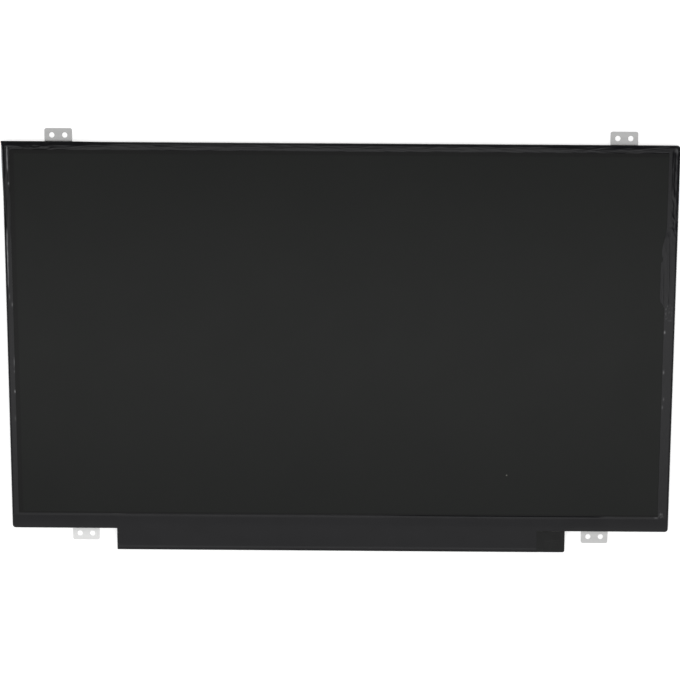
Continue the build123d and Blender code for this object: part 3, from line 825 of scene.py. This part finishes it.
def top_wrinkle(x, y):
    """The top tape: long shallow folds, deeper at both ends, and one short slit of a fold."""
    inset = (body_top - y) / MM
    ends = max(1 - ease(x / MM, -150, -118), ease(x / MM, 95, 125) * 0.8)
    folds = fold_noise(x, y, 11.0, 1.1, 6.0) * (0.04 + 0.1 * ends)
    nips = fold_noise(x, y, 2.2, 9.0, 9.0) * 0.24 * span(x / MM, -150, -137, 4)
    over = 0.08 * (1 - ease(x, body_left + 3.3 * MM, body_left + 4.3 * MM))
    crown = 0.06 * ease((y - top_low.y) / MM, 0.0, 1.5)
    slit = 0.09 * span(x / MM, -87, -80, 2) * bell(inset, 1.9, 0.22)
    return (folds + nips + crown + slit) * ease(inset, 0.0, 0.8) + over


def top_creep(x, y):
    """The top tape's left end, which stands out past the corner in a loose point."""
    outer = ease(y, top_low.y + 1.0 * MM, body_top - 0.2 * MM)
    past_corner = 0.6 * MM * (1 - ease(x, body_left, body_left + 4.0 * MM)) * outer
    past_edge = 0.22 * MM * (1 - ease(x / MM, -126, -112)) * outer
    return x - past_corner, y + past_edge


def bottom_wrinkle(x, y):
    """The bottom tape: a raised inner edge, strongest towards the right, slow waves and a rolled hem."""
    inset = (bottom_high.y - y) / MM
    strength = ease(x / MM, -112, -104) * (0.5 + 0.5 * ease(x / MM, 10, 55)) * (1 - ease(x / MM, 122, 134))
    raised = 0.15 * strength * ease(inset, 0.0, 0.5) * (1 - ease(inset, 0.6, 6.0))
    waves = 0.03 * (1 + noise.noise(Vector((x / MM / 24.0, y / MM / 9.0, 5.0))))
    hem = 0.06 * bell((y - board_low.y) / MM, 1.3, 0.45)
    return raised + waves * ease(inset, 0.0, 2.0) + hem


def make_side_tape(name, node, left, right, wrinkle, creep=None, flare=None, crease_and_glint=None):
    """A tape down one side of the panel, over both of its corners."""
    piece = tape_blank(name, left, right, body_bottom, body_top, across=0.12 * MM, along=0.5 * MM)
    move_points(piece, round_corner)
    outer = left if left < 0 else right

    def at_rim(middle):
        along_side = abs(middle.x - outer) < 1.8 * MM and abs(middle.y) > body_top - 1.8 * MM
        return along_side or abs(middle.x - outer) < 1e-5 or abs(middle.y) > body_top - 1e-5

    fold_down(piece, at_rim)
    lay_down(piece, wrinkle, creep, flare)
    finish_tape(piece, node, crease_and_glint)


def make_top_tape():
    """The tape along the top, whose left end runs out over the corner in a loose point."""
    edges = (body_left, right_low.x, top_low.y, body_top)
    piece = tape_blank("top_tape_wrap", *edges, across=0.7 * MM, along=0.16 * MM)
    ears = middles_of("top_left_ear", "top_right_ear")
    cut_notches(ears)
    cut_across(left_high.x)
    fold_down(piece, lambda middle: middle.y > body_top - 1e-5 and middle.x > left_high.x)
    clear_notches(piece, ears)
    lay_down(piece, top_wrinkle, top_creep)
    finish_tape(piece, "top_edge_tape")


def make_bottom_tape():
    """The tape along the bottom, with a tongue over the front of the board."""
    edges = (left_high.x, right_low.x, body_bottom, bottom_high.y)
    piece = tape_blank("bottom_tape_cover", *edges, across=1.0 * MM, along=0.15 * MM)
    ears = middles_of("bottom_left_ear", "bottom_right_ear")
    tongue_left = board_low.x
    tongue_right = board_high.x - bare_end
    board_gap = (board_low.x - 1.0 * MM, board_high.x + 1.0 * MM)
    cut_notches(ears)
    cut_across(tongue_left, tongue_right, *board_gap)

    def beside_board(middle):
        return middle.y < body_bottom + 1e-5 and not board_gap[0] < middle.x < board_gap[1]

    fold_down(piece, beside_board)
    clear_notches(piece, ears)
    pick_edges(piece, lambda middle: middle.y < body_bottom + 1e-5 and tongue_left < middle.x < tongue_right)
    # The tongue's hem starts to turn down before the board's edge, then goes down it in two steps
    turn_start, turn_run, turn_drop, hem_step = 0.7 * MM, 0.8 * MM, 0.24 * MM, 0.35 * MM
    steps = 30
    reach = body_bottom - board_low.y + tape_thickness
    for _ in range(steps):
        extrude_picked((0, -reach / steps, 0))
    lay_down(piece, bottom_wrinkle)

    def turn_down(co):
        if co.y > body_bottom - 1e-5:
            return co
        bend = ease(board_low.y + turn_start - co.y, 0.0, turn_run)
        return Vector((co.x, co.y, co.z - turn_drop * bend))

    move_points(piece, turn_down)
    pick_edges(piece, lambda middle: middle.y < board_low.y)
    for _ in range(2):
        extrude_picked((0, 0, -hem_step))
    finish_tape(piece, "bottom_cover_tape", bottom_crease)


make_side_tape(
    "left_tape_wrap", "left_edge_tape", body_left, left_high.x, left_wrinkle, flare=left_flare, crease_and_glint=left_crease_and_glint
)
make_side_tape(
    "right_tape_wrap", "right_edge_tape", right_low.x, body_right, right_wrinkle, right_creep, crease_and_glint=right_crease_and_glint
)
make_top_tape()
make_bottom_tape()


# Control board: tinned ends, leads, terminals and pads on its rear


def shift_to(x, y, z, turn=0.0, size=(1.0, 1.0, 1.0)):
    """A place for a copy: scaled, turned about Z in degrees, then moved."""
    turned = Matrix.Rotation(math.radians(turn), 4, "Z")
    return Matrix.Translation((x, y, z)) @ turned @ Matrix.Diagonal((*size, 1.0))


def tinned_end():
    """The tinned end of a chip part, one unit in size, with its solder sloping out along Y to the board above it."""
    piece = start_piece("tinned_end", bpy.ops.mesh.primitive_cube_add, size=1.0)
    bpy.ops.mesh.bisect(plane_co=(0, 0, 0.05), plane_no=(0, 0, 1))
    pick_faces(piece, lambda middle, normal: normal.y > 0.9 and middle.z > 0.05)
    extrude_picked((0, 0.45, 0))
    move_points(piece, lambda co: Vector((co.x * 0.86, co.y, 0.4 if co.z < 0.3 else co.z)), only_picked=True)
    apply_modifier(piece, "worn_edges", "BEVEL", width=0.07, segments=1, limit_method="ANGLE")
    return piece


def bent_lead(width):
    """A lead that leaves the side of a package along Y, steps to the board above it and ends in a flat foot."""
    piece = start_piece("bent_lead", bpy.ops.mesh.primitive_cube_add, size=1.0)
    place_blank((width * MM, 0.06 * MM, 0.12 * MM), (0, 0, -0.4 * MM))
    for move in ((0, 0.18, 0), (0, 0.1, 0.06), (0, 0.16, 0.22), (0, 0.08, 0.06), (0, 0.38, 0)):
        pick_faces(piece, lambda middle, normal: normal.y > 0.95)
        extrude_picked([part * MM for part in move])
    apply_modifier(piece, "bent_edges", "BEVEL", width=0.015 * MM, segments=1, limit_method="ANGLE")
    return piece


def side_terminal():
    """A flat terminal at the foot of a leadless package, with a toe of solder along Y."""
    piece = start_piece("side_terminal", bpy.ops.mesh.primitive_cube_add, size=1.0)
    place_blank((0.24 * MM, 0.05 * MM, 0.26 * MM), (0, 0, -0.13 * MM))
    bpy.ops.mesh.bisect(plane_co=(0, 0, -0.14 * MM), plane_no=(0, 0, 1))
    pick_faces(piece, lambda middle, normal: normal.y > 0.9 and middle.z > -0.14 * MM)
    extrude_picked((0, 0.16 * MM, 0))

    def slope(co):
        return Vector((co.x * 0.8, co.y, -0.02 * MM if co.z < -0.1 * MM else co.z))

    move_points(piece, slope, only_picked=True)
    return piece


def turned_disc(name, vertices, radius, height, steps):
    """A disc that stands out along -Z, with its face set in and moved along Z in steps."""
    piece = start_piece(name, bpy.ops.mesh.primitive_circle_add, vertices=vertices, radius=radius, fill_type="NGON")
    extrude_picked((0, 0, -height))
    for inset, move in steps:
        bpy.ops.mesh.inset(thickness=inset)
        bpy.ops.transform.translate(value=(0, 0, move))
    bpy.ops.mesh.select_all(action="SELECT")
    bpy.ops.mesh.normals_make_consistent(inside=False)
    return piece


def round_pad():
    """A small round pad that stands a little off the board's rear, dished in its middle."""
    return turned_disc("round_pad", 20, 0.45 * MM, 0.03 * MM, ((0.1 * MM, 0.012 * MM),))


def drum_core():
    """The round wound core that shows in an inductor, half a unit in radius, with a dark gap round it."""
    return turned_disc("drum_core", 36, 0.5, 0.02, ((0.05, 0.0), (0.04, -0.012), (0.16, 0.0), (0.03, 0.01)))


def ends_of(node, share):
    """Places for the tinned ends of every chip part in a node, which all lie along Y."""
    places = []
    for low, high in separate_boxes(node):
        length = (high.y - low.y) * share
        size = (high.x - low.x + 0.03 * MM, length, high.z - low.z + 0.02 * MM)
        x = (low.x + high.x) / 2
        z = high.z - size[2] / 2
        places.append(shift_to(x, high.y - length / 2 + 0.015 * MM, z, 0.0, size))
        places.append(shift_to(x, low.y + length / 2 - 0.015 * MM, z, 180.0, size))
    return places


def both_sides(x, low, high):
    """Places at the lower and the upper side of a package, each turned outwards."""
    return [shift_to(x, high.y, board_rear), shift_to(x, low.y, board_rear, 180.0)]


def rows_of_leads(node, count, pitch):
    """Places for a package's leads, in a row along each of its two long sides."""
    low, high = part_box(node)
    middle = (low.x + high.x) / 2
    places = []
    for number in range(count):
        x = middle + (number - (count - 1) / 2) * pitch * MM
        places += both_sides(x, low, high)
    return places


def ring_of_terminals(node, count, pitch):
    """Places for a leadless package's terminals, along all four of its sides."""
    low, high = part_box(node)
    middle = (low + high) / 2
    half = (high.x - low.x) / 2
    places = []
    for number in range(count):
        along = (number - (count - 1) / 2) * pitch * MM
        for turn in (0, 90, 180, 270):
            offset = Matrix.Rotation(math.radians(turn), 4, "Z") @ Vector((along, half, 0))
            places.append(shift_to(middle.x + offset.x, middle.y + offset.y, board_rear, turn))
    return places


def free_pad_places():
    """Places for test pads: along both long edges of the board, wherever no part is near."""
    taken = []
    for node in nodes:
        low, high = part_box(node)
        if high.z < board_rear + 0.01 * MM and low.y < board_high.y and high.y < body_bottom:
            taken += separate_boxes(node)
    taken.append(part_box("light_bar_flex"))
    places = []
    pitch = 3.1
    near = 1.3 * MM
    for row in (board_low.y + 1.3 * MM, board_high.y - 1.5 * MM):
        for number in range(70):
            x = board_low.x + (3.0 + pitch * number) * MM
            clear = all(
                not (low.x - near < x < high.x + near and low.y - near < row < high.y + near) for low, high in taken
            )
            if clear and x < board_high.x - 3.0 * MM and noise.noise(Vector((x * 400, row * 900, 3))) > -0.12:
                places.append(shift_to(x, row, board_rear))
    return places


def fit(name, master, places, finish=solder_tin):
    """Copies a small shape to its places on the board, as one finished piece."""
    close_piece(copies(name, master, places), finish, angle=30.0)


def dress_board():
    """Models each small shape once and copies it to its places on the board."""
    ends = ends_of("board_capacitors", 0.24) + ends_of("board_resistors", 0.26) + ends_of("input_fuse", 0.2)
    fit("chip_part_ends", tinned_end(), ends)

    leads = rows_of_leads("memory_chip", 4, 0.65) + rows_of_leads("gamma_buffer", 7, 0.65)
    fit("package_leads", bent_lead(0.24), leads)

    straps = []
    for low, high in separate_boxes("rectifier_diodes"):
        straps += both_sides((low.x + high.x) / 2, low, high)
    fit("diode_leads", bent_lead(1.1), straps)

    terminals = ring_of_terminals("timing_controller", 14, 0.5) + ring_of_terminals("power_chip", 10, 0.5)
    terminals += ring_of_terminals("level_shifter", 8, 0.5) + ring_of_terminals("backlight_driver", 6, 0.5)
    fit("leadless_terminals", side_terminal(), terminals)

    drums = []
    clips = []
    for node in inductors:
        low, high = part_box(node)
        middle = (low + high) / 2
        across = (high.x - low.x) * 0.74
        drums.append(shift_to(middle.x, middle.y, low.z + 0.002 * MM, 0.0, (across, across, 1.2 * MM)))
        width = (high.x - low.x) * 0.45
        for y, turn in ((high.y, 0.0), (low.y, 180.0)):
            clips.append(shift_to(middle.x, y, board_rear - 0.3 * MM, turn, (width, 0.2 * MM, 0.6 * MM)))
    fit("inductor_drums", drum_core(), drums, ferrite)
    fit("inductor_clips", tinned_end(), clips)

    fit("test_pads", round_pad(), free_pad_places(), gold_plate)

    dots = []
    for node in board_chips:
        low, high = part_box(node)
        size = 0.5 if high.x - low.x < 3.5 * MM else 0.8
        dots.append(shift_to(low.x + 0.75 * MM, low.y + 0.75 * MM, low.z + 0.012 * MM, 0.0, (size, size, 0.6)))
    fit("first_lead_dimples", round_pad(), dots, chip_resin)


dress_board()


# Stage, light and camera


def make_floor():
    """A pale floor that keeps the panel's shadow, is white to the camera, and lets the rear be seen from below."""
    floor = start_piece("pale_floor", bpy.ops.mesh.primitive_plane_add, size=12.0, location=(0, 0, -0.0002))
    leave_editing()
    material = bpy.data.materials.new("pale_floor")
    material.use_nodes = True
    tree = material.node_tree
    tree.nodes.clear()
    spots = put(tree, "ShaderNodeTexNoise", Vector=put(tree, "ShaderNodeTexCoord").outputs["Object"], Scale=3.0)
    paint = tint(tree, spots.outputs["Fac"], (0.79, 0.79, 0.79), (0.81, 0.81, 0.81))
    matt = put(tree, "ShaderNodeBsdfDiffuse", Color=paint)
    white = put(tree, "ShaderNodeEmission", Color=(1, 1, 1, 1), Strength=0.5)
    both = feed(tree, put(tree, "ShaderNodeAddShader"), matt.outputs[0], white.outputs[0])
    clear = put(tree, "ShaderNodeBsdfTransparent")
    from_below = put(tree, "ShaderNodeNewGeometry").outputs["Backfacing"]
    side = feed(tree, put(tree, "ShaderNodeMixShader"), from_below, both.outputs[0], clear.outputs[0])
    result = put(tree, "ShaderNodeOutputMaterial")
    tree.links.new(side.outputs[0], result.inputs["Surface"])
    floor.data.materials.append(material)
    for ray in ("diffuse", "glossy", "transmission", "shadow"):
        setattr(floor, f"visible_{ray}", False)


def make_world():
    """Even light all round; the shiny parts see a soft box overhead, panels in the room's corners, and white walls."""
    world = bpy.data.worlds.new("white_studio")
    bpy.context.scene.world = world
    world.use_nodes = True
    tree = world.node_tree
    tree.nodes.clear()
    rays = put(tree, "ShaderNodeLightPath")
    shiny = calculate(tree, "MAXIMUM", rays.outputs["Is Glossy Ray"], rays.outputs["Is Transmission Ray"])
    way = put(tree, "ShaderNodeSeparateXYZ", Vector=put(tree, "ShaderNodeTexCoord").outputs["Generated"])
    wide = calculate(tree, "ABSOLUTE", way.outputs["X"])
    deep = calculate(tree, "ABSOLUTE", way.outputs["Y"])
    # Overhead: the soft box, in the middle and on the board's side, and the panels in the corners
    across = between(tree, wide, 1.0, 0.0, 0.3, 0.5)
    board_side = between(tree, way.outputs["Y"], 1.0, 0.0, 0.0, 0.15)
    box = between(tree, calculate(tree, "MULTIPLY", across, board_side), 0.03, 0.47)
    corners = between(tree, calculate(tree, "MULTIPLY", wide, deep), 0.0, 0.32, 0.1, 0.3)
    overhead = calculate(tree, "MAXIMUM", box, corners)
    # Walls: white, with a dark flag beyond the panel's top edge, and white floor below
    flag = between(tree, way.outputs["Y"], 1.0, 0.015, 0.3, 0.6)
    above_floor = between(tree, way.outputs["Z"], 0.0, 1.0, -0.06, 0.0)
    walls = blend(tree, above_floor, 1.0, flag)
    low = between(tree, way.outputs["Z"], 1.0, 0.0, 0.02, 0.16)
    shown = blend(tree, low, overhead, walls)
    glow = blend(tree, shiny, 0.85, shown)
    strength = blend(tree, rays.outputs["Is Camera Ray"], glow, 1.0)
    light = put(tree, "ShaderNodeBackground", Color=(1, 1, 1, 1), Strength=strength)
    result = put(tree, "ShaderNodeOutputWorld")
    tree.links.new(light.outputs[0], result.inputs["Surface"])


def make_lamp():
    """A long soft lamp over the panel, a little below its middle line as the camera sees it."""
    length, width, brightness = 2.3, 0.24, 1.15
    lamp = bpy.data.lights.new("soft_lamp", "AREA")
    lamp.shape = "RECTANGLE"
    lamp.size = length
    lamp.size_y = width
    lamp.energy = length * width * math.pi * brightness
    new_object("soft_lamp", lamp).location = (0, -0.25, 1.5)


def make_camera():
    """The camera, above the panel and looking down at it from a little past its top edge."""
    picture_width = 680
    lens = bpy.data.cameras.new("camera")
    lens.sensor_width = 36.0
    lens.lens = 94.8
    lens.shift_x = -40 / picture_width
    holder = new_object("camera", lens)
    holder.location = (0.02204, 0.14212, 0.85101)
    holder.rotation_euler = [math.radians(angle) for angle in (-9.498, 0.267, 0.352)]
    bpy.context.scene.camera = holder


make_floor()
make_world()
make_lamp()
make_camera()
bpy.context.scene.view_settings.view_transform = "Standard"
